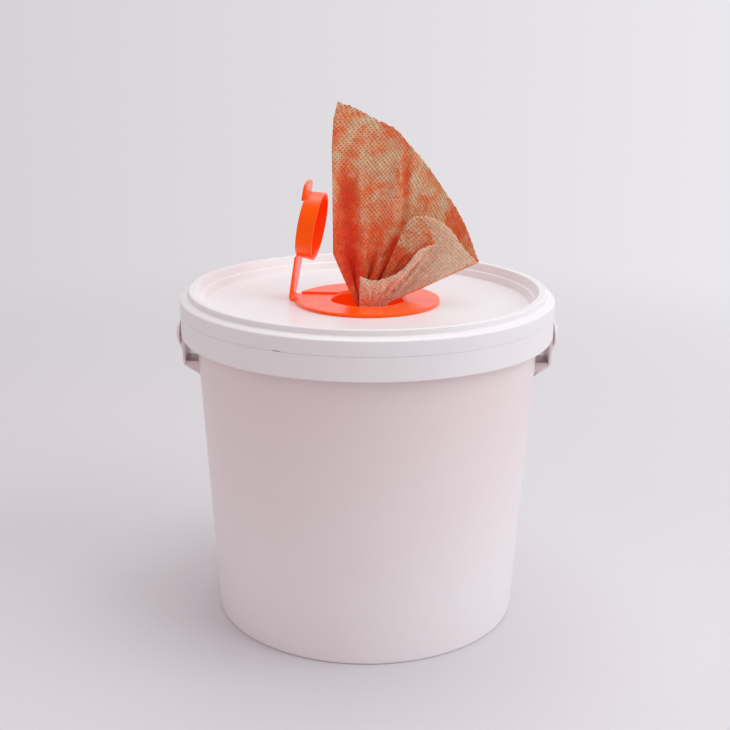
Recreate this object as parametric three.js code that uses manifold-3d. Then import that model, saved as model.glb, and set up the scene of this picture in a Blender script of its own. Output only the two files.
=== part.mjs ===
// Hand wipes canister: a pail with a snap-fit lid, a dispenser with a flip cap, a carrying
// bail, and a centre-pull roll whose leading wipe stands up out of the dispenser.
// Millimetres, +Z up, origin at the centre of the base, front towards -Y.
import * as THREE from 'three';
import { mergeVertices } from 'three/addons/utils/BufferGeometryUtils.js';
import Module from 'manifold-3d';

const wasm = await Module();
wasm.setup();

// Smoothness of round parts
const segments = 60;
const fineSegments = 48;
const smallSegments = 24;
const curveSteps = 3;

// How many times its piece's size a cutter runs, so that it goes right through
const cutThrough = 3;

// Pail
const baseRadius = 92.9;
const wallThickness = 1.8;
const footHeight = 2.5;
const footWidth = 4.5;
const footFillet = 2;
const floorThickness = 2;
const collarBottom = 175.4;
const collarHeight = 13.8;
const collarRadius = 112;
const collarOverhang = 9.1;
const collarThickness = 2;
const collarRound = 0.8;
const rimRise = 8.6;
const rimBead = 1.1;
const rimBeadHeight = 3;

// Ears and the bail's buttons in them
const earRadius = 19.5;
const shelfRise = 3.5;
const shelfDrop = 5.5;
const shelfDepth = 18;
const shelfEdge = 2.5;
const pinRadius = 4;
const pinClearance = 0.35;
const pinHeadRadius = 5;
const pinHeadLength = 2.2;
const pinHeadEdge = 0.8;
const pinSlack = 0.5;
const pinTaper = 0.5;
const buttonRadius = 7.7;
const buttonRise = 2.6;
const buttonEdge = 0.7;

// Bail
const bailGap = 1.2;
const bailThickness = 2.2;
const bailWidth = 9;
const bailArm = 30;
const bailHang = 36;
const bailWallGap = 0.5;

// Lid
const lidClearance = 0.3;
const lidThickness = 1.8;
const skirtHeight = 6.3;
const shoulderHeight = 2.5;
const shoulderRise = 1;
const shoulderInset = 1.5;
const rimWallHeight = 2.8;
const rimWallFall = 0.3;
const shoulderWidth = 3.5;
const rimRound = 0.5;
const lidRimWidth = 4.6;
const ledgeDrop = 4.8;
const ledgeInset = 1.9;
const ledgeWidth = 1.3;
const panelDrop = 9.4;
const innerWallDraft = 1.8;
const seatClearance = 0.3;
const snapClearance = 0.45;
const snapThickness = 1.7;
const plugClearance = 0.65;
const seatOverlap = 0.3;
const channelFall = 0.4;
const snapLength = 5.2;
const notchAngle = 25.3;
const notchLength = 4.8;
const notchHeight = 0.8;

// Dispenser
const flangeRadius = 43.6;
const flangeThickness = 1.6;
const flangeEdge = 0.4;
const holeRadius = 22;
const holeChamfer = 1.6;
const neckThickness = 2;
const neckDepth = 10.1;
const neckFloor = 1.5;
const neckEdge = 1;
const neckClearance = 0.4;
const snapBead = 1.1;
const snapBeadHeight = 0.9;
const slitReach = 15;
const slitWidth = 2.2;
const slitArms = 3;
const orificeRadius = 6;

// Flip cap, strap and thumb tab
const hingeTurn = 8.8;
const hingeOutset = 1.8;
const openAngle = 80.2;
const strapThickness = 1.1;
const strapRecess = 1;
const recessOverrun = 2;
const strapLift = 0.35;
const strapSideClearance = 0.5;
const strapWideHalf = 11.2;
const strapNarrowHalf = 8.8;
const capRadius = 19.6;
const capFlare = 1;
const capSkirt = 10.2;
const capWall = 1.2;
const capTop = 1.4;
const capRound = 0.6;
const tabReach = 6.5;
const tabHalfWidth = 10.5;
const tabTipHalfWidth = 4;
const tabRise = 1.7;
const tabThickness = 1.8;
const tabShoulder = 1.5;
const tabRootWidth = 0.6;
const tabRootDepth = 0.85;
const tabCurveSteps = 8;

// Roll of wipes
const rollGap = 1.5;
const rollHeight = 145;
const rollBore = 30;
const rollRound = 2;
const floorGap = 0.3;

// Leading wipe
const wipeThickness = 0.9;
const wipeAcross = 44;
const wipeStemRows = 1;
const wipeNeckRows = 2;
const wipeFanRows = 9;
const wipeStemLength = 65;
const wipeStemGap = 0.6;
const wipeNeckDrop = 3;
const wipeNeckShrink = 0.25;
const wipeNeckShift = -3.75;
const wipeLayerShrink = 0.5;
const wipeLoopStart = 180;
const wipeLoopTurn = 330;
const wipeEdgeBulge = [-12, 0, -36];
const wipeEdgeShare = 0.2;
// Free edge of the standing wipe, from its tip over the back fan to the right corner, back
// along the right wall, round the front lobe and along the low front band. Across, to the
// back and up from the middle of the dispenser's top face.
const wipeFreeEdge = [
  [-18, 4, 115.5], [-9, 6, 112.5], [4.5, 8, 105.5], [16.5, 7, 99.5], [23, 3, 92.5],
  [32.5, 6, 82], [44.5, 8, 65.5], [54, 8, 51.5], [59.5, 6, 41], [64.5, 3, 28], [66.5, 0, 22],
  [56.5, -2.5, 32], [48.5, -3.5, 43], [38.5, -4, 49], [27.5, -4.5, 50], [21.5, -6, 43.5],
  [25.5, -8, 49], [31, -9, 50], [36, -9.5, 45], [38.5, -10, 37],
  [40, -12, 36], [30, -13, 31.5], [23.5, -13.5, 22.5], [14.5, -14, 16.5], [4, -13.5, 13.5],
  [-4.5, -12, 15.5],
];

// Heights and radii worked out from the sizes above
const radians = THREE.MathUtils.degToRad;
const wallTopRadius = collarRadius - collarOverhang;
const wallTaper = (wallTopRadius - baseRadius) / collarBottom;
const wallOuter = (z) => baseRadius + wallTaper * z;
const wallInner = (z) => wallOuter(z) - wallThickness;
const floorTop = footHeight + floorThickness;
const collarTop = collarBottom + collarHeight;
const pailTop = collarTop + rimRise;
const pivotHeight = collarBottom - 2;
const skirtBottom = collarTop + lidClearance;
const shoulderBottom = skirtBottom + skirtHeight;
const shoulderTop = shoulderBottom + shoulderHeight;
const rimFoot = shoulderTop + shoulderRise;
const shoulderRadius = collarRadius - shoulderInset;
const lidTop = rimFoot + rimWallHeight + rimRound;
const rimOuterRadius = shoulderRadius - shoulderWidth;
const rimInnerRadius = rimOuterRadius - lidRimWidth;
const ledgeRadius = rimInnerRadius - ledgeInset;
const panelRadius = ledgeRadius - ledgeWidth - innerWallDraft;
const panelTop = lidTop - panelDrop;
const panelBottom = panelTop - lidThickness;
const ceiling = lidTop - lidThickness;
const seatHeight = pailTop + seatClearance;
const flangeBottom = panelTop + seatClearance;
const flangeTop = flangeBottom + flangeThickness;
const neckOuterRadius = holeRadius + neckThickness;
const neckFloorTop = flangeTop - neckDepth;
const neckBottom = neckFloorTop - neckFloor;
const recessFloor = flangeTop - strapRecess;
const capTopHeight = strapLift + strapThickness;
const hingeReach = flangeRadius + hingeOutset;

// A body turned about the Z axis. The outline holds radius and height, and runs outwards
// below, up the outside and back inwards above.
function turned(outline, steps = segments) {
  const points = outline.getPoints(curveSteps);
  return new THREE.LatheGeometry(points, steps).rotateX(Math.PI / 2);
}

function solid(geometry) {
  geometry.deleteAttribute('normal');
  geometry.deleteAttribute('uv');
  const merged = mergeVertices(geometry.index ? geometry : geometry.clone(), 1e-4);
  const vertProperties = new Float32Array(merged.attributes.position.array);
  const triVerts = new Uint32Array(merged.index.array);
  return new wasm.Manifold(new wasm.Mesh({ numProp: 3, vertProperties, triVerts }));
}

function geometryOf(body) {
  const mesh = body.getMesh();
  const geometry = new THREE.BufferGeometry();
  geometry.setAttribute('position', new THREE.BufferAttribute(new Float32Array(mesh.vertProperties), 3));
  geometry.setIndex(new THREE.BufferAttribute(new Uint32Array(mesh.triVerts), 1));
  geometry.computeVertexNormals();
  return geometry;
}

function polygon(points) {
  return new THREE.Shape(points.map(([x, y]) => new THREE.Vector2(x, y)));
}

function prism(shape, depth, curveSegments = smallSegments) {
  return new THREE.ExtrudeGeometry(shape, { depth, bevelEnabled: false, curveSegments });
}

// A shape drawn in x and z, given its depth along y, centred on y = 0
function uprightPrism(shape, depth) {
  return prism(shape, depth).rotateX(Math.PI / 2).translate(0, depth / 2, 0);
}

function plastic(color, roughness) {
  return new THREE.MeshStandardMaterial({ color, roughness, metalness: 0 });
}

const whitePlastic = plastic(0xefeaea, 0.35);
const orangePlastic = plastic(0xff5a0c, 0.3);
const wipeCloth = plastic(0xc87b52, 0.95);
const rollCloth = plastic(0xe6ddd6, 0.95);

function pailBody() {
  const beadBottom = pailTop - rimBeadHeight;
  const web = collarTop - collarThickness;
  const inside = collarRadius - collarThickness;
  const outline = new THREE.Path();
  outline.moveTo(0, footHeight);
  outline.lineTo(baseRadius - footWidth, footHeight);
  outline.lineTo(baseRadius - footWidth, 0);
  outline.lineTo(baseRadius - footFillet, 0);
  outline.quadraticCurveTo(baseRadius, 0, wallOuter(footFillet), footFillet);
  outline.lineTo(wallOuter(web), web);
  outline.lineTo(inside, web);
  outline.lineTo(inside, collarBottom);
  outline.lineTo(collarRadius, collarBottom);
  outline.lineTo(collarRadius, collarTop - collarRound);
  outline.lineTo(collarRadius - collarRound, collarTop);
  outline.lineTo(wallOuter(collarTop), collarTop);
  outline.lineTo(wallOuter(beadBottom), beadBottom);
  outline.lineTo(wallOuter(pailTop) + rimBead, beadBottom + rimBead);
  outline.lineTo(wallOuter(pailTop) + rimBead, pailTop - rimBead);
  outline.lineTo(wallOuter(pailTop), pailTop);
  outline.lineTo(wallInner(pailTop), pailTop);
  outline.lineTo(wallInner(floorTop), floorTop);
  outline.lineTo(0, floorTop);
  return turned(outline);
}

// Both ears' plates: the part of a ring under the collar that a round-ended tongue covers
function earPlates() {
  const bottom = pivotHeight - earRadius - collarRound;
  const top = collarBottom + collarRound;
  const ring = new THREE.Path();
  ring.moveTo(collarRadius - collarThickness, bottom);
  ring.lineTo(collarRadius, bottom);
  ring.lineTo(collarRadius, top);
  ring.lineTo(collarRadius - collarThickness, top);
  ring.lineTo(collarRadius - collarThickness, bottom);
  const tongue = new THREE.Shape();
  tongue.absarc(0, pivotHeight, earRadius, 0, 2 * Math.PI);
  const width = cutThrough * collarRadius;
  const cutter = prism(tongue, width).translate(0, 0, -width / 2);
  cutter.rotateX(Math.PI / 2).rotateZ(Math.PI / 2);
  return solid(turned(ring)).intersect(solid(cutter));
}

// The shelf that ties an ear's plate back to the wall
function earShelf(side) {
  const bottom = pivotHeight - earRadius;
  const top = bottom + shelfRise;
  const outer = collarRadius - collarThickness / 2;
  const inner = wallOuter(bottom) - wallThickness / 2;
  const outline = polygon([
    [inner, bottom - shelfDrop], [outer, top - shelfEdge], [outer, top], [inner, top],
  ]);
  const shelf = uprightPrism(outline, shelfDepth);
  return side > 0 ? shelf : shelf.rotateZ(Math.PI);
}

function pinHole(side) {
  const hole = new THREE.CylinderGeometry(
    pinRadius + pinClearance, pinRadius + pinClearance, cutThrough * collarThickness, smallSegments);
  return hole.rotateZ(Math.PI / 2).translate(side * collarRadius, 0, pivotHeight);
}

function bucket() {
  let body = solid(pailBody()).add(earPlates());
  for (const side of [-1, 1]) {
    body = body.add(solid(earShelf(side))).subtract(solid(pinHole(side)));
  }
  return geometryOf(body);
}

function lidBody() {
  const outerSide = wallInner(seatHeight) - plugClearance;
  const seatInside = wallOuter(pailTop) - seatOverlap;
  const snapInside = wallOuter(pailTop) + rimBead + snapClearance;
  const snapOutside = snapInside + snapThickness;
  const snapBottom = seatHeight - snapLength;
  const skirtInside = collarRadius - lidThickness;
  const channel = shoulderTop - lidThickness / 3;
  const hole = neckOuterRadius + neckClearance;
  const outline = new THREE.Path();
  outline.moveTo(hole, panelBottom);
  outline.lineTo(panelRadius + lidThickness, panelBottom);
  outline.lineTo(ledgeRadius - ledgeWidth + lidThickness, lidTop - ledgeDrop - lidThickness);
  outline.lineTo(outerSide, seatHeight);
  outline.lineTo(seatInside, seatHeight);
  outline.lineTo(seatInside, ceiling);
  outline.lineTo(snapInside, ceiling);
  outline.lineTo(snapInside, snapBottom);
  outline.lineTo(snapOutside, snapBottom);
  outline.lineTo(snapOutside, channel);
  outline.lineTo(shoulderRadius - lidThickness, channel - channelFall);
  outline.lineTo(skirtInside, shoulderBottom);
  outline.lineTo(skirtInside, skirtBottom);
  outline.lineTo(collarRadius, skirtBottom);
  outline.lineTo(collarRadius, shoulderBottom);
  outline.quadraticCurveTo(collarRadius, shoulderTop - rimRound, shoulderRadius, shoulderTop);
  outline.lineTo(rimOuterRadius + rimWallFall, rimFoot);
  outline.lineTo(rimOuterRadius, lidTop - rimRound);
  outline.quadraticCurveTo(rimOuterRadius - rimRound, lidTop, rimOuterRadius - 2 * rimRound, lidTop);
  outline.lineTo(rimInnerRadius + rimRound, lidTop);
  outline.lineTo(rimInnerRadius, lidTop - rimRound);
  outline.lineTo(ledgeRadius, lidTop - ledgeDrop + rimRound);
  outline.lineTo(ledgeRadius - rimRound, lidTop - ledgeDrop);
  outline.lineTo(ledgeRadius - ledgeWidth, lidTop - ledgeDrop - rimRound);
  outline.lineTo(panelRadius, panelTop + rimRound);
  outline.lineTo(panelRadius - rimRound, panelTop);
  outline.lineTo(hole, panelTop);
  outline.lineTo(hole, panelBottom);
  return turned(outline);
}

// Small slot for a lever in the skirt's lower edge, to the left of the front
function pryNotch() {
  const notch = new THREE.BoxGeometry(notchLength, cutThrough * lidThickness, 2 * notchHeight);
  return notch.translate(0, -collarRadius, skirtBottom).rotateZ(-radians(notchAngle));
}

function lid() {
  return geometryOf(solid(lidBody()).subtract(solid(pryNotch())));
}

function dispenserBody() {
  const beadTop = panelBottom - seatClearance;
  const beadBottom = beadTop - snapBeadHeight;
  const outline = new THREE.Path();
  outline.moveTo(0, neckBottom);
  outline.lineTo(neckOuterRadius - neckEdge, neckBottom);
  outline.lineTo(neckOuterRadius, neckBottom + neckEdge);
  outline.lineTo(neckOuterRadius, beadBottom - snapBead);
  outline.lineTo(neckOuterRadius + snapBead, beadBottom);
  outline.lineTo(neckOuterRadius + snapBead, beadTop);
  outline.lineTo(neckOuterRadius, beadTop);
  outline.lineTo(neckOuterRadius, flangeBottom);
  outline.lineTo(flangeRadius, flangeBottom);
  outline.lineTo(flangeRadius, flangeTop - flangeEdge);
  outline.lineTo(flangeRadius - flangeEdge, flangeTop);
  outline.lineTo(holeRadius + holeChamfer, flangeTop);
  outline.lineTo(holeRadius, flangeTop - holeChamfer);
  outline.lineTo(holeRadius, neckFloorTop + neckEdge);
  outline.lineTo(holeRadius - neckEdge, neckFloorTop);
  outline.lineTo(0, neckFloorTop);
  return turned(outline, fineSegments);
}

// The strap's outline in plan, drawn with the hinge on +X, wider towards the cap
function strapOutline(from, to, extra) {
  const growth = (strapWideHalf - strapNarrowHalf) / (hingeReach - capRadius);
  const half = (x) => strapNarrowHalf + growth * (hingeReach - x) + extra;
  return polygon([[from, -half(from)], [to, -half(to)], [to, half(to)], [from, half(from)]]);
}

const towardsHinge = Math.PI - radians(hingeTurn);

function strapSlot() {
  const outline = strapOutline(holeRadius - recessOverrun, flangeRadius + recessOverrun, strapSideClearance);
  return prism(outline, cutThrough * strapRecess).translate(0, 0, recessFloor).rotateZ(towardsHinge);
}

// Thin lug that carries the hinge line just outside the flange, level with the recess floor
function hingeLug() {
  const outline = strapOutline(flangeRadius - recessOverrun, hingeReach + strapLift, 0);
  return prism(outline, recessFloor - flangeBottom).translate(0, 0, flangeBottom).rotateZ(towardsHinge);
}

function slit(turn) {
  const depth = cutThrough * neckFloor;
  const slot = new THREE.BoxGeometry(2 * slitReach, slitWidth, depth);
  return slot.rotateZ(turn).translate(0, 0, neckFloorTop);
}

function orifice() {
  const hole = new THREE.CylinderGeometry(orificeRadius, orificeRadius, cutThrough * neckFloor, smallSegments);
  return hole.rotateX(Math.PI / 2).translate(0, 0, neckFloorTop);
}

function dispenser() {
  let body = solid(dispenserBody()).subtract(solid(strapSlot())).subtract(solid(orifice()));
  body = body.add(solid(hingeLug()));
  for (let arm = 0; arm < slitArms; arm += 1) {
    body = body.subtract(solid(slit((arm * Math.PI) / slitArms)));
  }
  return geometryOf(body);
}

// The cap's cup, closed end up, with its top face at capTopHeight above the hinge line
function capCup() {
  const mouth = capTopHeight - capSkirt;
  const mouthRadius = capRadius + capFlare;
  const outline = new THREE.Path();
  outline.moveTo(0, capTopHeight - capTop);
  outline.lineTo(capRadius - capWall, capTopHeight - capTop);
  outline.lineTo(mouthRadius - capWall, mouth);
  outline.lineTo(mouthRadius, mouth);
  outline.lineTo(capRadius, capTopHeight - capRound);
  outline.lineTo(capRadius - capRound, capTopHeight);
  outline.lineTo(0, capTopHeight);
  return turned(outline, fineSegments);
}

function capStrap() {
  const outline = strapOutline(capRadius - capWall, hingeReach - strapLift, 0);
  return prism(outline, strapThickness).translate(0, 0, strapLift);
}

// Thumb tab opposite the strap: a raised rim round the cup's edge, cut to a rounded outline
function thumbTab() {
  const root = capRadius - capWall;
  const rootOutside = capRadius + tabRootWidth;
  const tip = capRadius + tabReach;
  const above = capTopHeight + tabRise;
  const under = above - tabThickness;
  const section = new THREE.Path();
  section.moveTo(root, capTopHeight - tabRootDepth);
  section.lineTo(rootOutside, capTopHeight - tabRootDepth);
  section.lineTo(rootOutside, under);
  section.lineTo(tip, under);
  section.lineTo(tip, above);
  section.lineTo(root, above);
  section.lineTo(root, capTopHeight - tabRootDepth);
  const plan = new THREE.Shape();
  plan.moveTo(0, -tabHalfWidth);
  plan.lineTo(-capRadius - tabShoulder, -tabHalfWidth);
  plan.quadraticCurveTo(-tip, -tabHalfWidth, -tip, -tabTipHalfWidth / 2);
  plan.lineTo(-tip, tabTipHalfWidth / 2);
  plan.quadraticCurveTo(-tip, tabHalfWidth, -capRadius - tabShoulder, tabHalfWidth);
  plan.lineTo(0, tabHalfWidth);
  const cutter = solid(prism(plan, cutThrough * capTopHeight, tabCurveSteps));
  return solid(turned(section, fineSegments)).intersect(cutter);
}

function flipCap() {
  return geometryOf(solid(capCup()).add(solid(capStrap())).add(thumbTab()));
}

// Reach of the bail from its pivots, so that its lower edge just clears the wall as it hangs
function bailReach() {
  const down = radians(bailHang);
  const half = bailWidth / 2;
  const level = pivotHeight - half * Math.cos(down);
  const wall = wallOuter(level) + bailWallGap + half * Math.sin(down);
  return wall / (Math.cos(down) + wallTaper * Math.sin(down)) + bailThickness;
}

// The bail lying level behind its pivots: a strip bent to two arms and half an ellipse
function bailStrip() {
  const inside = collarRadius + bailGap;
  const outside = inside + bailThickness;
  const reach = bailReach();
  const outline = new THREE.Shape();
  outline.moveTo(outside, 0);
  outline.lineTo(outside, bailArm);
  outline.absellipse(0, bailArm, outside, reach - bailArm, 0, Math.PI, false);
  outline.lineTo(-outside, 0);
  outline.lineTo(-inside, 0);
  outline.lineTo(-inside, bailArm);
  outline.absellipse(0, bailArm, inside, reach - bailThickness - bailArm, Math.PI, 0, true);
  outline.lineTo(inside, 0);
  return prism(outline, bailWidth).translate(0, 0, -bailWidth / 2);
}

// Domed button, pin and snap head, turned about the pivot line
function bailButton(side) {
  const inside = collarRadius + bailGap;
  const pinEnd = collarRadius - collarThickness - pinSlack;
  const dome = (buttonRadius ** 2 + (buttonRise - buttonEdge) ** 2) / (2 * (buttonRise - buttonEdge));
  const centre = inside + buttonRise - dome;
  const half = Math.asin(buttonRadius / dome);
  const outline = new THREE.Path();
  outline.moveTo(0, pinEnd - pinHeadLength);
  outline.lineTo(pinRadius - pinTaper, pinEnd - pinHeadLength);
  outline.lineTo(pinHeadRadius, pinEnd - pinHeadEdge);
  outline.lineTo(pinHeadRadius, pinEnd);
  outline.lineTo(pinRadius, pinEnd);
  outline.lineTo(pinRadius, inside);
  outline.lineTo(buttonRadius, inside);
  outline.absarc(0, centre, dome, Math.PI / 2 - half, Math.PI / 2, false);
  return turned(outline, smallSegments).rotateY((side * Math.PI) / 2);
}

function bail() {
  let body = solid(bailStrip());
  for (const side of [-1, 1]) {
    body = body.add(solid(bailButton(side)));
  }
  return geometryOf(body);
}

function wipeRoll() {
  const outer = wallInner(floorTop) - rollGap;
  const bottom = floorTop + floorGap;
  const top = bottom + rollHeight;
  const outline = new THREE.Path();
  outline.moveTo(rollBore, bottom);
  outline.lineTo(outer, bottom);
  outline.lineTo(outer, top - rollRound);
  outline.quadraticCurveTo(outer, top, outer - rollRound, top);
  outline.lineTo(rollBore + rollRound, top);
  outline.quadraticCurveTo(rollBore, top, rollBore, top - rollRound);
  outline.lineTo(rollBore, bottom);
  return turned(outline, fineSegments);
}

// Point of the wipe's middle surface: across runs from the tip's side round to the front
// band, along from the stem's lower end (0) through the slits (1) and the neck (2) to the
// free edge (3)
function wipePoint(edge, across, along) {
  const free = edge.getPointAt(across).add(new THREE.Vector3(0, 0, flangeTop));
  const neck = new THREE.Vector3(
    wipeNeckShift + wipeNeckShrink * free.x, wipeLayerShrink * free.y, flangeTop - wipeNeckDrop);
  const turn = radians(wipeLoopStart - wipeLoopTurn * across);
  const loop = orificeRadius - wipeStemGap - wipeThickness / 2;
  const slitPoint = new THREE.Vector3(loop * Math.cos(turn), loop * Math.sin(turn), neckFloorTop);
  if (along <= 1) {
    return slitPoint.setZ(neckFloorTop - wipeStemLength * (1 - along));
  }
  if (along <= 2) {
    const share = along - 1;
    const eased = share * share * (3 - 2 * share);
    const point = slitPoint.clone().lerp(neck, eased);
    return point.setZ(THREE.MathUtils.lerp(slitPoint.z, neck.z, share));
  }
  const left = Math.max(0, 1 - across / wipeEdgeShare);
  const control = neck.clone().lerp(free, 0.5);
  control.addScaledVector(new THREE.Vector3(...wipeEdgeBulge), left * left);
  return new THREE.QuadraticBezierCurve3(neck, control, free).getPoint(along - 2);
}

function wipe() {
  const points = wipeFreeEdge.map(([x, y, z]) => new THREE.Vector3(x, y, z));
  const edge = new THREE.CatmullRomCurve3(points, false, 'centripetal');
  const rows = wipeStemRows + wipeNeckRows + wipeFanRows;
  const alongAt = (row) => {
    if (row <= wipeStemRows) {
      return row / wipeStemRows;
    }
    if (row <= wipeStemRows + wipeNeckRows) {
      return 1 + (row - wipeStemRows) / wipeNeckRows;
    }
    return 2 + (row - wipeStemRows - wipeNeckRows) / wipeFanRows;
  };
  const sheet = new THREE.PlaneGeometry(1, 1, wipeAcross, rows);
  const middle = sheet.attributes.position;
  const stride = wipeAcross + 1;
  for (let row = 0; row <= rows; row += 1) {
    for (let column = 0; column < stride; column += 1) {
      const point = wipePoint(edge, column / wipeAcross, alongAt(row));
      middle.setXYZ(row * stride + column, point.x, point.y, point.z);
    }
  }
  sheet.computeVertexNormals();
  return thickened(sheet, wipeAcross, rows, wipeThickness);
}

// A grid surface given a thickness: both faces, and a strip round the four borders
function thickened(sheet, columns, rows, thickness) {
  const middle = sheet.attributes.position;
  const normals = sheet.attributes.normal;
  const count = middle.count;
  const positions = new Float32Array(count * 6);
  for (let i = 0; i < count; i += 1) {
    const point = new THREE.Vector3().fromBufferAttribute(middle, i);
    const normal = new THREE.Vector3().fromBufferAttribute(normals, i);
    point.clone().addScaledVector(normal, thickness / 2).toArray(positions, i * 3);
    point.addScaledVector(normal, -thickness / 2).toArray(positions, (count + i) * 3);
  }
  const faces = Array.from(sheet.index.array);
  const index = [...faces];
  for (let i = 0; i < faces.length; i += 3) {
    index.push(count + faces[i], count + faces[i + 2], count + faces[i + 1]);
  }
  const stride = columns + 1;
  const wall = (a, b) => index.push(a, count + a, b, b, count + a, count + b);
  for (let column = 0; column < columns; column += 1) {
    wall(column + 1, column);
    wall(rows * stride + column, rows * stride + column + 1);
  }
  for (let row = 0; row < rows; row += 1) {
    wall(row * stride, (row + 1) * stride);
    wall((row + 1) * stride + columns, row * stride + columns);
  }
  const geometry = new THREE.BufferGeometry();
  geometry.setAttribute('position', new THREE.BufferAttribute(positions, 3));
  geometry.setIndex(index);
  geometry.computeVertexNormals();
  return geometry;
}

function piece(name, geometry, material) {
  const mesh = new THREE.Mesh(geometry, material);
  mesh.name = name;
  return mesh;
}

// The cap stands open about its hinge line just outside the flange
function openCap() {
  const cap = piece('flip_cap', flipCap(), orangePlastic);
  cap.position.set(-hingeReach, 0, 0);
  const hinge = new THREE.Group();
  hinge.add(cap);
  hinge.position.set(hingeReach, 0, 0);
  hinge.rotation.y = radians(openAngle);
  const mount = new THREE.Group();
  mount.add(hinge);
  mount.position.z = recessFloor;
  mount.rotation.z = towardsHinge;
  return mount;
}

// The bail hangs behind the pail, turned down about its pivots
function hangingBail() {
  const mesh = piece('bail', bail(), whitePlastic);
  const pivot = new THREE.Group();
  pivot.add(mesh);
  pivot.position.z = pivotHeight;
  pivot.rotation.x = -radians(bailHang);
  return pivot;
}

const canister = new THREE.Group();
canister.add(piece('bucket', bucket(), whitePlastic));
canister.add(piece('lid', lid(), whitePlastic));
canister.add(piece('dispenser', dispenser(), orangePlastic));
canister.add(openCap());
canister.add(hangingBail());
canister.add(piece('wipe_roll', wipeRoll(), rollCloth));
canister.add(piece('wipe', wipe(), wipeCloth));

export default canister;
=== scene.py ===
"""Hand wipes canister: pail, snap-fit lid, dispenser with an open flip cap, carrying bail,
roll of wipes, and the leading wipe standing up out of the dispenser. Sizes below are in
millimetres, heights from the surface that the pail stands on, front towards -Y."""

import math

import bmesh
import bpy
import numpy as np
from mathutils import Matrix


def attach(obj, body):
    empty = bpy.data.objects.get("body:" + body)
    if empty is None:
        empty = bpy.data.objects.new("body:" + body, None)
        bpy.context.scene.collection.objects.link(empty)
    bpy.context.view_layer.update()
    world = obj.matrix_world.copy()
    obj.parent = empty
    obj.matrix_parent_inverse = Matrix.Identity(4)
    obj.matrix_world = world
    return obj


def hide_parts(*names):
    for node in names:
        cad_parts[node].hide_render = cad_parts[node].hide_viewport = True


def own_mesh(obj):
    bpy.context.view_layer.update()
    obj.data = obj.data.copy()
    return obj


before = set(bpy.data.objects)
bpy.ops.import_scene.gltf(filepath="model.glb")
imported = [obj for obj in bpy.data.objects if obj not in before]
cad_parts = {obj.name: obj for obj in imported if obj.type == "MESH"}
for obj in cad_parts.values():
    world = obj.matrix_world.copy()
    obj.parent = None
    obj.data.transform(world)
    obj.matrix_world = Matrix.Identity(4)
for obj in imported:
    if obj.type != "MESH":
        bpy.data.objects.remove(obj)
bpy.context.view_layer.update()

MM = 0.001
FILLET_STEPS = 4
FILLET_ROWS = FILLET_STEPS + 3

# Pail
BASE_RADIUS = 92.9
WALL_TAPER = 10 / 175.4
WALL = 1.8
FLOOR_TOP = 4.5
COLLAR_RADIUS = 112.0
COLLAR_BOTTOM = 175.4
COLLAR_TOP = 189.2
PAIL_TOP = 197.8
PIVOT_HEIGHT = 173.4
EAR_RADIUS = 19.5
EAR_FILLET = 2.0

# Lid
LID_TOP = 202.6
PANEL_TOP = 193.2
PANEL_BOTTOM = 191.4
SKIRT_BOTTOM = 189.28
NOTCH_ANGLE = -90 - 25.3
NOTCH_LENGTH = 4.8
NOTCH_HEIGHT = 0.35

# Dispenser, strap recess and flip cap
FLANGE_RADIUS = 43.6
FLANGE_TOP = 195.1
HOLE_RADIUS = 22.0
NECK_FLOOR = 185.0
HINGE_TURN = 8.8
HINGE_REACH = 45.4
STRAP_RECESS = 1.0
STRAP_CLEARANCE = 0.5
SLIT_HALF_WIDTH = 1.1
PETAL_OUTSIDE = 15.2
PETAL_INSIDE = 6.0
STRAP_NARROW = 8.8
CAP_RADIUS = 19.6
MOUTH_RADIUS = 20.6
STRAP_GROWTH = (11.2 - 8.8) / (HINGE_REACH - CAP_RADIUS)
STRAP_THICKNESS = 1.1
OPEN_ANGLE = 80.2
CAP_TOP = 1.45
CAP_MOUTH = CAP_TOP - 10.2
TAB_REACH = 6.5
TAB_HALF_WIDTH = 10.5

# Bail
BAIL_INSIDE = 113.2
BAIL_THICKNESS = 2.2
BAIL_WIDTH = 9.0
BAIL_ARM = 30.0
BAIL_HANG = math.radians(36)

# Roll of wipes
ROLL_BORE = 30.0
ROLL_BOTTOM = 4.8
ROLL_TOP = 149.8
ROLL_ROOM = 1.5

# Leading wipe: its free edge from the tip over the back fan to the right corner, back along
# the right wall, round the front lobe and along the low front band, across, to the back and
# up from the middle of the dispenser's top face
WIPE_FREE_EDGE = np.array([
    [-18, 4, 115.5], [-9, 6, 112.5], [4.5, 8, 105.5], [16.5, 7, 99.5], [23, 3, 92.5],
    [32.5, 6, 82], [44.5, 8, 65.5], [54, 8, 51.5], [59.5, 6, 41], [64.5, 3, 28], [66.5, 0, 22],
    [56.5, -2.5, 32], [48.5, -3.5, 43], [38.5, -4, 49], [27.5, -4.5, 50], [21.5, -6, 43.5],
    [25.5, -8, 49], [31, -9, 50], [36, -9.5, 45], [38.5, -10, 37],
    [40, -12, 36], [30, -13, 31.5], [23.5, -13.5, 22.5], [14.5, -14, 16.5], [4, -13.5, 13.5],
    [-4.5, -12, 15.5],
], float)
STEM_BOTTOM = 120.0
STEM_PLEATS = 14
DOTS_PER_METRE = 370.0
CLOTH_THICKNESS = 0.35
NECK_HEIGHT = FLANGE_TOP - 3.0


def wall_outer(height):
    """Outside radius of the tapered wall at a height."""
    return BASE_RADIUS + WALL_TAPER * height


def smooth(value):
    """Eases 0 to 1 with level ends; values outside are held at the ends."""
    value = np.clip(value, 0, 1)
    return value * value * (3 - 2 * value)


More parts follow.
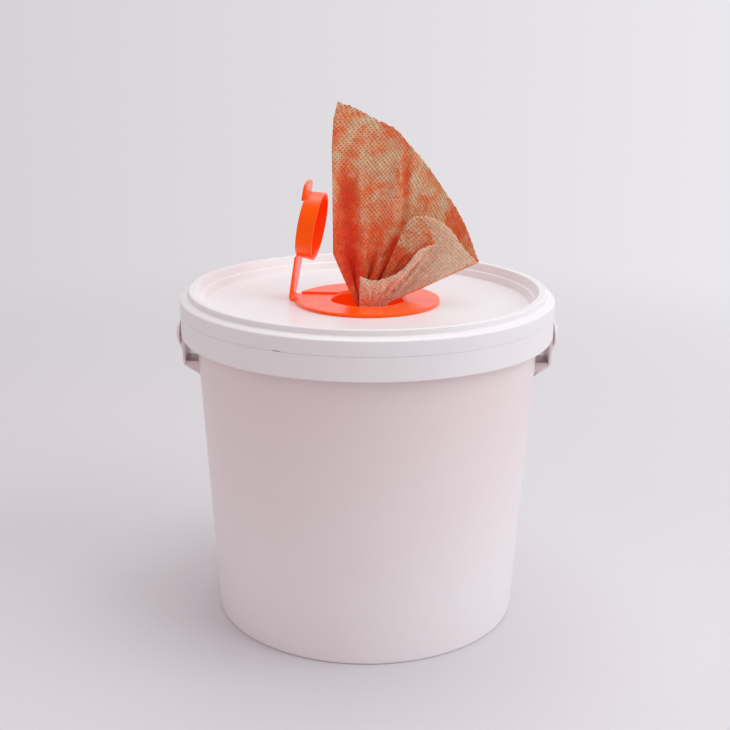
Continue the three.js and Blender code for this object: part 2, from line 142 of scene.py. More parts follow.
def rounded(corners, closed=False):
    """Outline through corners (first, second, radius). Each corner becomes a quadratic curve
    between the points where its fillet leaves the two sides, with a support point just
    beyond each end, so that flat faces stay flat in the shading."""
    data = np.array(corners, float)
    point, radius = data[:, :2], data[:, 2]
    before = np.roll(point, 1, 0) - point
    after = np.roll(point, -1, 0) - point
    if not closed:
        before[0], after[-1] = -after[0], -before[-1]
    before_length = np.linalg.norm(before, axis=1)
    after_length = np.linalg.norm(after, axis=1)
    before, after = before / before_length[:, None], after / after_length[:, None]
    turn = np.arccos(np.clip(-(before * after).sum(1), -1, 1))
    reach = np.minimum(radius * np.tan(turn / 2), 0.4 * np.minimum(before_length, after_length))
    start, end = point + before * reach[:, None], point + after * reach[:, None]
    step = np.linspace(0, 1, FILLET_STEPS + 1)[None, :, None]
    curve = (1 - step) ** 2 * start[:, None] + 2 * step * (1 - step) * point[:, None]
    curve = curve + step ** 2 * end[:, None]
    lead = (start + before * reach[:, None] * 0.2)[:, None]
    tail = (end + after * reach[:, None] * 0.2)[:, None]
    return np.concatenate([lead, curve, tail], 1).reshape(-1, 2)


def per_row(values):
    """One value for each corner of an outline, repeated for the rows that rounded() gives it."""
    return np.repeat(np.array(values, float), FILLET_ROWS)


def grid_faces(rows, columns, close_rows=False, close_columns=True):
    """Quads of a grid of points, wrapped round from the last row or column to the first."""
    row = np.arange(rows if close_rows else rows - 1)[:, None]
    column = np.arange(columns if close_columns else columns - 1)[None, :]
    next_row, next_column = (row + 1) % rows, (column + 1) % columns
    corners = [row * columns + column, row * columns + next_column,
               next_row * columns + next_column, next_row * columns + column]
    return np.stack([np.broadcast_to(c, corners[0].shape) for c in corners], -1).reshape(-1, 4)


def turned(outline, angles, closed=False, lift=0.0):
    """Surface of revolution about Z: the outline's point at radius r and height z goes to
    (r cos a, r sin a, z + lift) at each angle a; lift may differ from point to point."""
    radius, height = outline[:, 0][:, None], outline[:, 1][:, None]
    points = np.stack(np.broadcast_arrays(
        radius * np.cos(angles), radius * np.sin(angles), height + lift + 0 * angles), -1)
    return points, grid_faces(len(outline), len(angles), close_rows=closed)


def carried(centre, side, up, half_width, half_thickness, edge):
    """Rounded rectangular section carried along a path: each row is the section's loop, with
    its corner arcs of radius edge, set out along side and up from the path's point. The two
    end rows are closed with a fan."""
    turn = np.linspace(0, 2 * np.pi, 16, endpoint=False) + np.pi / 16
    sign_side, sign_up = np.sign(np.cos(turn)), np.sign(np.sin(turn))
    half_width = np.broadcast_to(half_width, len(centre))[:, None]
    half_thickness = np.broadcast_to(half_thickness, len(centre))[:, None]
    across = sign_side * (half_width - edge) + edge * np.cos(turn)
    above = sign_up * (half_thickness - edge) + edge * np.sin(turn)
    points = centre[:, None] + side[:, None] * across[..., None] + up[:, None] * above[..., None]
    first = np.repeat(centre[:1, None], len(turn), 1)
    last = np.repeat(centre[-1:, None], len(turn), 1)
    points = np.concatenate([first, points, last], 0)
    return points, grid_faces(len(points), len(turn))


def slab(outline, low, high, edge):
    """Flat plate: the outline, run anticlockwise, is carried from low to high along the third
    axis, and its two rims are rounded over by drawing it in along its normals."""
    tangent = np.roll(outline, -1, 0) - np.roll(outline, 1, 0)
    tangent /= np.linalg.norm(tangent, axis=1)[:, None] + 1e-12
    normal = np.stack([tangent[:, 1], -tangent[:, 0]], -1)
    turn = np.linspace(0, np.pi / 2, 4)
    inset = np.concatenate([edge * (1 - np.sin(turn)), edge * (1 - np.cos(turn))])
    level = np.concatenate([low + edge * (1 - np.cos(turn)), high - edge * (1 - np.sin(turn))])
    ring = outline[None] - inset[:, None, None] * normal[None]
    height = np.broadcast_to(level[:, None, None], ring.shape[:2] + (1,))
    rows = np.concatenate([ring, height], -1)
    middle = np.broadcast_to(outline.mean(0), (1, len(outline), 2))
    floor = np.concatenate([middle, np.full((1, len(outline), 1), low)], -1)
    roof = np.concatenate([middle, np.full((1, len(outline), 1), high)], -1)
    points = np.concatenate([floor, rows, roof], 0)
    return points, grid_faces(len(points), len(outline))


def placed(part, matrix, shift=(0, 0, 0)):
    """The part's points turned by a 3 by 3 matrix, then moved."""
    points, faces = part
    return points @ np.array(matrix, float).T + np.array(shift, float), faces


def axis_turn(axis, angle):
    """Turn about X, Y or Z by an angle in radians, as a 3 by 3 matrix."""
    return np.array(Matrix.Rotation(angle, 3, axis))


def piece(name, parts, body, material, nodes=(), sharp=40):
    """One object from several surfaces: points that fall together are merged, which closes
    seams and poles; edges sharper than the angle stay crisp, and the rest is smooth."""
    mesh = bpy.data.meshes.new(name)
    stacked, faces, start = [], [], 0
    for points, quads in parts:
        stacked.append(points.reshape(-1, 3) * MM)
        faces.append(quads + start)
        start += points.size // 3
    mesh.from_pydata(np.concatenate(stacked).tolist(), [], np.concatenate(faces).tolist())
    shell = bmesh.new()
    shell.from_mesh(mesh)
    bmesh.ops.remove_doubles(shell, verts=shell.verts, dist=1e-6)
    shell.to_mesh(mesh)
    shell.free()
    mesh.polygons.foreach_set("use_smooth", [True] * len(mesh.polygons))
    mesh.set_sharp_from_angle(angle=math.radians(sharp))
    made = bpy.data.objects.new(name, mesh)
    bpy.context.scene.collection.objects.link(made)
    mesh.materials.append(material)
    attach(made, body)
    if nodes:
        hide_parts(*nodes)
    return made


def shade(red, green, blue):
    """Colour as it looks on a screen, from 0 to 255, turned to the linear values of a shader."""
    value = np.array([red, green, blue]) / 255
    linear = np.where(value <= 0.04045, value / 12.92, ((value + 0.055) / 1.055) ** 2.4)
    return (*linear.tolist(), 1.0)


def node(tree, kind, inputs=None, **settings):
    """A node of that kind with its settings; each input is a value, or a socket to link."""
    made = tree.nodes.new(kind)
    for key, value in settings.items():
        setattr(made, key, value)
    for key, value in (inputs or {}).items():
        if isinstance(value, bpy.types.NodeSocket):
            tree.links.new(value, made.inputs[key])
        else:
            made.inputs[key].default_value = value
    return made


def finish_tree(name):
    """A new material's node tree and its shader."""
    material = bpy.data.materials.new(name)
    material.use_nodes = True
    return material, material.node_tree, material.node_tree.nodes["Principled BSDF"]


def noise(tree, place, scale, detail=2.0, roughness=0.5, distortion=0.0):
    """Cloudy noise from 0 to 1 at a number of features to the metre."""
    made = node(tree, "ShaderNodeTexNoise", {
        "Vector": place, "Scale": scale, "Detail": detail, "Roughness": roughness,
        "Distortion": distortion})
    return made.outputs["Fac"]


def spread(tree, value, low, high, to_low=0.0, to_high=1.0):
    """The value's range from low to high, laid out from to_low to to_high and held there."""
    made = node(tree, "ShaderNodeMapRange", {
        "Value": value, "From Min": low, "From Max": high, "To Min": to_low, "To Max": to_high})
    return made.outputs["Result"]


def blend_colour(tree, share, first, second):
    """Colour between two others; share, first and second are values or sockets."""
    made = node(tree, "ShaderNodeMix", data_type="RGBA")
    for socket, value in ((made.inputs[0], share), (made.inputs[6], first), (made.inputs[7], second)):
        if isinstance(value, bpy.types.NodeSocket):
            tree.links.new(value, socket)
        else:
            socket.default_value = value
    return made.outputs[2]


def arithmetic(tree, operation, first, second=0.0):
    """One step of arithmetic on values or sockets."""
    made = node(tree, "ShaderNodeMath", {0: first, 1: second}, operation=operation)
    return made.outputs[0]


def bump(tree, height, strength, distance, under=None):
    """Relief from a height, over the relief beneath it."""
    inputs = {"Height": height, "Strength": strength, "Distance": distance}
    if under is not None:
        inputs["Normal"] = under
    return node(tree, "ShaderNodeBump", inputs).outputs["Normal"]


def moulded_white():
    """White pail plastic: a faint cloudiness, a painted warm pink shade that grows up the wall and is
    strongest just under the collar, soft gloss that varies, fine orange peel and slow waves of the mould."""
    material, tree, shader = finish_tree("moulded_white")
    place = node(tree, "ShaderNodeTexCoord").outputs["Object"]
    cloud = spread(tree, noise(tree, place, 9.0, 3.0), 0.3, 0.7)
    colour = blend_colour(tree, cloud, shade(241, 235, 237), shade(245, 240, 242))
    height = node(tree, "ShaderNodeSeparateXYZ", {0: place}).outputs["Z"]
    # Painted shade: a warm pink tint that rises up the wall to the collar's lower edge, standing in for the
    # shade under the collar
    under_collar_shade = arithmetic(tree, "MULTIPLY", spread(tree, height, 0.04, 0.15, 0.25, 1.0),
                       spread(tree, height, 0.1745, 0.1765, 1.0, 0.0))
    colour = blend_colour(tree, under_collar_shade, colour, shade(238, 222, 223))
    tree.links.new(colour, shader.inputs["Base Color"])
    gloss = spread(tree, noise(tree, place, 60.0, 2.0), 0.3, 0.7, 0.3, 0.36)
    tree.links.new(gloss, shader.inputs["Roughness"])
    waves = bump(tree, noise(tree, place, 14.0, 0.0), 0.06, 0.0008)
    peel = bump(tree, noise(tree, place, 1100.0, 1.0), 0.02, 0.00003, waves)
    tree.links.new(peel, shader.inputs["Normal"])
    shader.inputs["Subsurface Weight"].default_value = 0.12
    shader.inputs["Subsurface Radius"].default_value = (1.0, 0.8, 0.75)
    shader.inputs["Subsurface Scale"].default_value = 0.003
    return material


def moulded_orange():
    """Orange dispenser plastic: a strong even orange with slight cloudiness and a few tiny
    specks. A weak orange emission is painted light that brightens it all over, and its shine
    is weak face on and strong at a grazing angle."""
    material, tree, shader = finish_tree("moulded_orange")
    place = node(tree, "ShaderNodeTexCoord").outputs["Object"]
    cloud = spread(tree, noise(tree, place, 40.0, 3.0), 0.3, 0.7)
    colour = blend_colour(tree, cloud, shade(255, 84, 0), shade(255, 96, 4))
    specks = spread(tree, noise(tree, place, 420.0, 0.0), 0.86, 0.9)
    colour = blend_colour(tree, specks, colour, shade(225, 96, 50))
    tree.links.new(colour, shader.inputs["Base Color"])
    slant = node(tree, "ShaderNodeLayerWeight", {"Blend": 0.5}).outputs["Facing"]
    tree.links.new(spread(tree, slant, 0.25, 0.62, 0.12, 1.0), shader.inputs["Specular IOR Level"])
    gloss = spread(tree, noise(tree, place, 90.0, 4.0), 0.3, 0.7, 0.22, 0.3)
    tree.links.new(gloss, shader.inputs["Roughness"])
    waves = bump(tree, noise(tree, place, 50.0, 1.0), 0.08, 0.0004)
    peel = bump(tree, noise(tree, place, 1600.0, 1.0), 0.03, 0.00003, waves)
    tree.links.new(peel, shader.inputs["Normal"])
    # Painted light: a weak orange emission that brightens every face of the part, though it is no lamp
    shader.inputs["Emission Color"].default_value = shade(255, 70, 0)
    shader.inputs["Emission Strength"].default_value = 0.14
    shader.inputs["Subsurface Weight"].default_value = 0.15
    shader.inputs["Subsurface Radius"].default_value = (1.0, 0.35, 0.1)
    shader.inputs["Subsurface Scale"].default_value = 0.003
    return material


def wound_cloth():
    """End and side of the wound roll: fine rings of wound layers, cloudy damp patches and a
    soft fibrous relief."""
    material, tree, shader = finish_tree("wound_cloth")
    place = node(tree, "ShaderNodeTexCoord").outputs["Object"]
    rings = node(tree, "ShaderNodeTexWave", {
        "Vector": place, "Scale": 95.0, "Distortion": 1.6, "Detail": 2.0, "Detail Scale": 0.4},
        wave_type="RINGS", rings_direction="Z", wave_profile="SAW").outputs["Fac"]
    damp = spread(tree, noise(tree, place, 30.0, 4.0), 0.35, 0.7)
    colour = blend_colour(tree, damp, shade(226, 208, 194), shade(236, 226, 216))
    stain = spread(tree, noise(tree, place, 75.0, 5.0, 0.6), 0.52, 0.68)
    colour = blend_colour(tree, arithmetic(tree, "MULTIPLY", stain, 0.55), colour, shade(216, 128, 82))
    colour = blend_colour(tree, spread(tree, rings, 0.0, 1.0, 0.0, 0.35), colour, shade(176, 150, 132))
    tree.links.new(colour, shader.inputs["Base Color"])
    relief = bump(tree, rings, 0.6, 0.0005)
    relief = bump(tree, noise(tree, place, 900.0, 3.0), 0.4, 0.0002, relief)
    tree.links.new(relief, shader.inputs["Normal"])
    shader.inputs["Roughness"].default_value = 0.85
    return material


def printed_wipe():
    """Moist scouring wipe. Along the cloth's own map: staggered dark dots pressed into it,
    beige patches broken up by orange mottle, more orange and red where the lower cloth is damp and deep red
    painted as shade in the hollows of the folds (both from one point attribute), and a pale reverse with
    faint dots (attribute pale)."""
    material, tree, shader = finish_tree("printed_wipe")
    place = node(tree, "ShaderNodeUVMap", uv_map="cloth").outputs["UV"]
    damp_and_fold_shade = node(tree, "ShaderNodeAttribute", attribute_name="damp_and_fold_shade").outputs["Fac"]
    pale = node(tree, "ShaderNodeAttribute", attribute_name="pale").outputs["Fac"]
    # Dots: distance from the middle of the nearer of two offset square lattices
    spots = []
    for shift in (0.0, 0.5):
        cell = node(tree, "ShaderNodeVectorMath", {0: place, 1: (DOTS_PER_METRE, DOTS_PER_METRE, 1.0)},
                    operation="MULTIPLY").outputs[0]
        cell = node(tree, "ShaderNodeVectorMath", {0: cell, 1: (shift, shift, 0.0)},
                    operation="ADD").outputs[0]
        cell = node(tree, "ShaderNodeVectorMath", {0: cell}, operation="FRACTION").outputs[0]
        cell = node(tree, "ShaderNodeVectorMath", {0: cell, 1: (0.5, 0.5, 0.0)},
                    operation="SUBTRACT").outputs[0]
        spots.append(node(tree, "ShaderNodeVectorMath", {0: cell}, operation="LENGTH").outputs[1])
    nearest = arithmetic(tree, "MINIMUM", spots[0], spots[1])
    fibres = noise(tree, place, 1300.0, 3.0, 0.7)
    dot = spread(tree, arithmetic(tree, "ADD", nearest, spread(tree, fibres, 0.2, 0.8, -0.07, 0.07)),
                 0.12, 0.25, 1.0, 0.0)
    # Mottle: patches of about a centimetre, broken by blotches of a few millimetres
    patch = noise(tree, place, 52.0, 2.0, 0.5, 0.6)
    blotch = noise(tree, place, 210.0, 7.0, 0.85, 1.0)
    mixed = arithmetic(tree, "ADD", arithmetic(tree, "MULTIPLY", patch, 0.42),
                       arithmetic(tree, "MULTIPLY", blotch, 0.58))
    # The damp and fold-shade attribute pushes the mottle to orange and to deep red; in the fold hollows that
    # red is painted shade
    mottle = spread(tree, arithmetic(tree, "ADD", mixed, arithmetic(tree, "MULTIPLY", damp_and_fold_shade, 0.2)),
                    0.42, 0.58)
    colour = blend_colour(tree, mottle, shade(226, 210, 180), shade(252, 124, 68))
    deep = spread(tree, arithmetic(tree, "ADD", mixed, arithmetic(tree, "MULTIPLY", damp_and_fold_shade, 0.3)), 0.57, 0.78)
    colour = blend_colour(tree, deep, colour, shade(234, 66, 34))
    thin = spread(tree, fibres, 0.35, 0.7, 0.0, 0.22)
    colour = blend_colour(tree, thin, colour, shade(252, 172, 116))
    mark = arithmetic(tree, "MULTIPLY", dot, spread(tree, damp_and_fold_shade, 0.1, 0.8, 0.6, 0.2))
    colour = blend_colour(tree, mark, colour, shade(112, 72, 40))
    reverse = blend_colour(tree, spread(tree, blotch, 0.35, 0.65), shade(255, 196, 162), shade(255, 222, 198))
    reverse = blend_colour(tree, arithmetic(tree, "MULTIPLY", dot, 0.4), reverse, shade(190, 108, 74))
    colour = blend_colour(tree, pale, colour, reverse)
    tree.links.new(colour, shader.inputs["Base Color"])
    crinkle = noise(tree, place, 170.0, 4.0, 0.65, 1.2)
    relief = bump(tree, crinkle, 0.9, 0.004)
    relief = bump(tree, dot, 0.35, 0.0003, relief)
    relief = bump(tree, fibres, 0.35, 0.0002, relief)
    tree.links.new(relief, shader.inputs["Normal"])
    tree.links.new(spread(tree, blotch, 0.3, 0.7, 0.7, 0.9), shader.inputs["Roughness"])
    shader.inputs["Subsurface Weight"].default_value = 0.7
    shader.inputs["Subsurface Radius"].default_value = (1.0, 0.5, 0.35)
    shader.inputs["Subsurface Scale"].default_value = 0.002
    return material


white = moulded_white()
orange = moulded_orange()

# Pail: the collar's lower edge dips round each ear
full_turn = np.linspace(0, 2 * np.pi, 180, endpoint=False)


def ear_drop(angles):
    """How far the collar's lower edge hangs down at each angle: inside an ear's half-width it
    follows a circle about the pivot, beside it a small concave fillet runs back to the level
    edge, and elsewhere it is nil."""
    side = np.abs(COLLAR_RADIUS * np.sin(angles))
    tongue = COLLAR_BOTTOM - PIVOT_HEIGHT + np.sqrt(np.clip(EAR_RADIUS ** 2 - side ** 2, 0, None))
    rest = np.clip(EAR_RADIUS + EAR_FILLET - side, 0, EAR_FILLET)
    fillet = EAR_FILLET - np.sqrt(EAR_FILLET ** 2 - rest ** 2)
    return np.where(side <= EAR_RADIUS, tongue, fillet)


def ear_angles():
    """Even angles round the pail, with closely set ones along both ears' outlines."""
    sweep = EAR_RADIUS * np.sin(np.linspace(0, np.pi / 2, 16))
    beside = EAR_RADIUS + EAR_FILLET * (1 - np.cos(np.linspace(0.02, np.pi / 2, 6)))
    half = np.arcsin(np.concatenate([sweep, beside]) / COLLAR_RADIUS)
    near = np.concatenate([-half[:0:-1], half])
    plain = full_turn[np.abs(COLLAR_RADIUS * np.sin(full_turn)) > EAR_RADIUS + EAR_FILLET + 1]
    return np.sort(np.concatenate([near % (2 * np.pi), near + np.pi, plain]))


def bucket():
    """One moulding: foot ring, floor, tapered wall, collar with both ears, and rim bead."""
    web = COLLAR_TOP - 2.0
    inside = COLLAR_RADIUS - 2.0
    bead = wall_outer(PAIL_TOP) + 1.1
    # Radius, height, fillet, and whether the corner hangs down at the ears
    corners = [
        (0, 2.5, 0, 0), (88.4, 2.5, 0.4, 0), (88.4, 0, 0.5, 0), (BASE_RADIUS, 0, 2, 0),
        (wall_outer(web), web, 0.7, 0), (inside, web, 0.8, 0),
        (inside, COLLAR_BOTTOM, 0.5, 1), (COLLAR_RADIUS - 0.5, COLLAR_BOTTOM, 0.5, 1),
        (COLLAR_RADIUS, COLLAR_TOP, 0.25, 0), (wall_outer(COLLAR_TOP), COLLAR_TOP, 0.6, 0),
        (wall_outer(PAIL_TOP - 3), PAIL_TOP - 3, 0.3, 0), (bead, PAIL_TOP - 1.9, 0.4, 0),
        (bead, PAIL_TOP - 1.1, 0.4, 0), (wall_outer(PAIL_TOP), PAIL_TOP, 0.3, 0),
        (wall_outer(PAIL_TOP) - WALL, PAIL_TOP, 0.5, 0),
        (wall_outer(FLOOR_TOP) - WALL, FLOOR_TOP, 3, 0), (0, FLOOR_TOP, 0, 0),
    ]
    angles = ear_angles()
    hang = per_row([corner[3] for corner in corners])[:, None] * ear_drop(angles)
    body = turned(rounded([corner[:3] for corner in corners]), angles, lift=-hang)
    low = PIVOT_HEIGHT - EAR_RADIUS
    root = wall_outer(low) - WALL / 2
    side_view = rounded([
        (root, low - 5.5, 0.3), (COLLAR_RADIUS - 1, low + 1, 0.6),
        (COLLAR_RADIUS - 1, low + 3.5, 0.3), (root, low + 3.5, 0.3)], closed=True)
    shelf = slab(side_view, -9.0, 9.0, 0.6)
    upright = np.array([[1, 0, 0], [0, 0, -1], [0, 1, 0]])
    shelves = [placed(placed(shelf, upright), axis_turn("Z", turn)) for turn in (0.0, math.pi)]
    return piece("pail_shell", [body, *shelves], "pail", white, ["bucket"])


def lid():
    """One moulding: skirt, shoulder, sloping rim, recessed panel, snap skirt inside. The
    skirt's lower edge rises over a short notch for a lever."""
    notch = np.radians(NOTCH_ANGLE)
    half = NOTCH_LENGTH / 2 / COLLAR_RADIUS
    marks = notch + half * np.array([-1.06, -1, -0.5, 0, 0.5, 1, 1.06])
    angles = np.sort(np.concatenate([full_turn, marks % (2 * np.pi)]))
    away = np.abs((angles - notch + np.pi) % (2 * np.pi) - np.pi)
    rise = np.where(away <= half * 1.01, NOTCH_HEIGHT, 0.0)
    # Radius, height, fillet, and whether the corner rises at the notch
    corners = [
        (24.4, PANEL_BOTTOM, 0.3, 0), (99.2, PANEL_BOTTOM, 0.5, 0), (101.0, 196.0, 0.3, 0),
        (101.74, 198.1, 0.15, 0), (103.88, 198.1, 0.15, 0), (103.88, 200.8, 0.3, 0),
        (105.73, 200.8, 0.3, 0), (105.73, 192.9, 0.3, 0), (107.43, 192.9, 0.3, 0),
        (107.43, 197.7, 0.3, 0), (108.7, 197.3, 0.3, 0), (110.2, 195.8, 0.5, 0),
        (110.2, SKIRT_BOTTOM, 0.3, 1), (COLLAR_RADIUS, SKIRT_BOTTOM, 0.15, 1),
        (COLLAR_RADIUS, 197.6, 2.2, 0), (110.6, 198.3, 1.0, 0), (107.3, 199.3, 0.4, 0),
        (106.9, 202.2, 0.4, 0), (106.2, LID_TOP, 0.6, 0), (102.4, LID_TOP, 0.6, 0),
        (100.4, 197.9, 0.5, 0), (99.2, 197.3, 0.5, 0), (97.4, PANEL_TOP, 0.7, 0),
        (24.4, PANEL_TOP, 0.4, 0),
    ]
    lift = per_row([corner[3] for corner in corners])[:, None] * rise
    shell = turned(rounded([corner[:3] for corner in corners], closed=True), angles,
                   closed=True, lift=lift)
    return piece("lid_shell", [shell], "lid_unit", white, ["lid"])


def recess_half_angle(radius):
    """Half the angle that the strap's recess spans at a radius: the side runs straight, at a
    half-width that grows away from the hinge, and the angle is found by repeated steps."""
    radius = np.maximum(radius, HOLE_RADIUS)
    angle = np.full(radius.shape, 0.3)
    for _ in range(6):
        run = HINGE_REACH - radius * np.cos(angle)
        half = STRAP_NARROW + STRAP_CLEARANCE + STRAP_GROWTH * run
        angle = np.arcsin(half / radius)
    return angle


def dispenser():
    """One moulding: flange with the strap's recess, chamfered hole, neck with snap bead, and
    a floor cut into six petals by three crossing slits round a hole."""
    # Radius, height, fillet, and whether the recess draws the corner in and sinks it
    corners = [
        (15, 183.5, 0.2, 0, 0), (24, 183.5, 0.9, 0, 0), (24, 189.1, 0.3, 0, 0),
        (25.1, 190.2, 0.2, 0, 0), (25.1, 191.1, 0.2, 0, 0), (24, 191.1, 0.2, 0, 0),
        (24, 193.5, 0.2, 0, 0), (FLANGE_RADIUS, 193.5, 0.2, 0, 0),
        (FLANGE_RADIUS, FLANGE_TOP, 0.4, 0, 1), (23.6, FLANGE_TOP, 0.3, 1, 1),
        (HOLE_RADIUS, 193.5, 0.4, 0, 0), (HOLE_RADIUS, NECK_FLOOR, 1, 0, 0),
        (15, NECK_FLOOR, 0.2, 0, 0),
    ]
    outline = rounded([corner[:3] for corner in corners], closed=True)
    draw_in = per_row([corner[3] for corner in corners])[:, None] * STRAP_RECESS
    sink = per_row([corner[4] for corner in corners])[:, None] * STRAP_RECESS
    within = np.linspace(-1, 1, 13)
    beyond = np.linspace(0, 1, 67)[:-1]
    sunk = np.concatenate([np.ones(13), np.zeros(66), np.zeros(66)])[None, :]
    edge = recess_half_angle(outline[:, :1])
    step = 0.12 / np.maximum(outline[:, :1], HOLE_RADIUS)
    right = edge + step + (np.pi - edge - step) * beyond
    left = -(edge + step + (np.pi - edge - step) * beyond[::-1])
    turn = np.concatenate([edge * within, right, left], 1) + math.radians(180 - HINGE_TURN)
    radius = outline[:, :1] - draw_in * sunk
    height = outline[:, 1:] - sink * sunk
    ring = np.stack([radius * np.cos(turn), radius * np.sin(turn), height], -1)
    parts = [(ring, grid_faces(*ring.shape[:2], close_rows=True))]
    for petal in range(6):
        arc = np.linspace(-1, 1, 7)
        outer = (np.pi / 6 - math.asin(SLIT_HALF_WIDTH / PETAL_OUTSIDE)) * arc
        inner = (np.pi / 6 - math.asin(SLIT_HALF_WIDTH / PETAL_INSIDE)) * arc[::-1]
        plan = np.concatenate([
            PETAL_OUTSIDE * np.stack([np.cos(outer), np.sin(outer)], -1),
            PETAL_INSIDE * np.stack([np.cos(inner), np.sin(inner)], -1)])
        plate = slab(plan, 183.52, NECK_FLOOR - 0.02, 0.2)
        parts.append(placed(plate, axis_turn("Z", math.radians(30 + 60 * petal))))
    near, far = FLANGE_RADIUS - 1.2, HINGE_REACH + 0.35
    narrow = STRAP_NARROW + STRAP_GROWTH * (HINGE_REACH - far)
    wide = STRAP_NARROW + STRAP_GROWTH * (HINGE_REACH - near)
    lug = slab(rounded([(near, -wide, 0.1), (far, -narrow, 0.6), (far, narrow, 0.6),
                        (near, wide, 0.1)], closed=True), 193.52, 194.08, 0.15)
    parts.append(placed(lug, axis_turn("Z", math.radians(180 - HINGE_TURN))))
    return piece("dispenser_shell", parts, "lid_unit", orange, ["dispenser"])


def tab_outline():
    """Thumb tab in plan, anticlockwise: straight flanks that round in to the tip, on a foot
    that follows the cup's edge."""
    root = CAP_RADIUS - 1.1
    tip, flank = CAP_RADIUS + TAB_REACH, CAP_RADIUS + 1.5
    step = np.linspace(0, 1, 9)[:, None]
    start, corner = np.array([flank, -TAB_HALF_WIDTH]), np.array([tip, -TAB_HALF_WIDTH])
    end = np.array([tip, -2.0])
    curve = (1 - step) ** 2 * start + 2 * step * (1 - step) * corner + step ** 2 * end
    turn = np.linspace(1, -1, 11) * math.asin(TAB_HALF_WIDTH / root)
    foot = root * np.stack([np.cos(turn), np.sin(turn)], -1)
    return np.concatenate([curve, curve[::-1] * [1, -1], foot]) * [-1, -1]


def flip_cap():
    """One moulding, drawn shut with the cup's middle at the origin and the hinge line on +X:
    cup turned from its outline, strap that widens towards it, raised thumb tab opposite, and
    a thin bead along the hinge. It is then turned open about the hinge."""
    angles = np.linspace(0, 2 * np.pi, 144, endpoint=False)
    cup = turned(rounded([
        (0, 0.05, 0), (CAP_RADIUS - 1.2, 0.05, 0.8), (MOUTH_RADIUS - 1.3, CAP_MOUTH + 1.6, 0.4),
        (MOUTH_RADIUS - 0.9, CAP_MOUTH, 0.3), (MOUTH_RADIUS, CAP_MOUTH, 0.35),
        (CAP_RADIUS, CAP_TOP, 0.7), (0, CAP_TOP, 0)]), angles)
    seal = turned(rounded([
        (9.2, 0.2, 0.1), (9.4, -2.4, 0.3), (10.4, -2.4, 0.3), (10.6, 0.2, 0.1)]), angles)
    along = np.linspace(CAP_RADIUS - 0.8, HINGE_REACH - 0.35, 14)
    level = np.zeros_like(along)
    sideways = np.tile([0.0, 1.0, 0.0], (len(along), 1))
    upwards = np.tile([0.0, 0.0, 1.0], (len(along), 1))
    half = STRAP_THICKNESS / 2
    thin = half - 0.25 * smooth((along - HINGE_REACH + 3.0) / 2.5)
    strap = carried(np.stack([along, level, level + CAP_TOP - half], -1), -sideways, upwards,
                    STRAP_NARROW + STRAP_GROWTH * (HINGE_REACH - along), thin, 0.25)
    tab = slab(tab_outline(), CAP_TOP - 0.1, CAP_TOP + 1.7, 0.55)
    root = turned(rounded([
        (CAP_RADIUS - 1.1, 0.62, 0.1), (CAP_RADIUS + 0.55, 0.62, 0.3),
        (CAP_RADIUS + 0.55, 2.6, 0.1), (CAP_RADIUS - 1.1, 2.6, 0.1)], closed=True),
        np.pi + np.linspace(-0.44, 0.44, 17), closed=True)
    root = (root[0], grid_faces(*root[0].shape[:2], close_rows=True, close_columns=False))
    bead = turned(rounded([(0, -8.6, 0), (0.6, -8.6, 0.2), (0.6, 8.6, 0.2), (0, 8.6, 0)]),
                  np.linspace(0, 2 * np.pi, 16, endpoint=False))
    bead = placed(bead, axis_turn("X", math.pi / 2), (HINGE_REACH - 0.1, 0, 0.3))
    opened = axis_turn("Z", math.radians(180 - HINGE_TURN)) @ axis_turn("Y", math.radians(OPEN_ANGLE))
    hinge = axis_turn("Z", math.radians(180 - HINGE_TURN)) @ np.array([HINGE_REACH, 0, 0])
    shift = hinge + np.array([0, 0, FLANGE_TOP - STRAP_RECESS])
    parts = [placed(placed(part, np.eye(3), (-HINGE_REACH, 0, 0)), opened, shift)
             for part in (cup, seal, strap, tab, root, bead)]
    return piece("cap_shell", parts, "cap", orange, ["flip_cap"])


def bail_reach():
    """Reach of the bail from its pivots, so that its lower edge just clears the wall."""
    half = BAIL_WIDTH / 2
    level = PIVOT_HEIGHT - half * math.cos(BAIL_HANG)
    wall = wall_outer(level) + 0.5 + half * math.sin(BAIL_HANG)
    return wall / (math.cos(BAIL_HANG) + WALL_TAPER * math.sin(BAIL_HANG)) + BAIL_THICKNESS


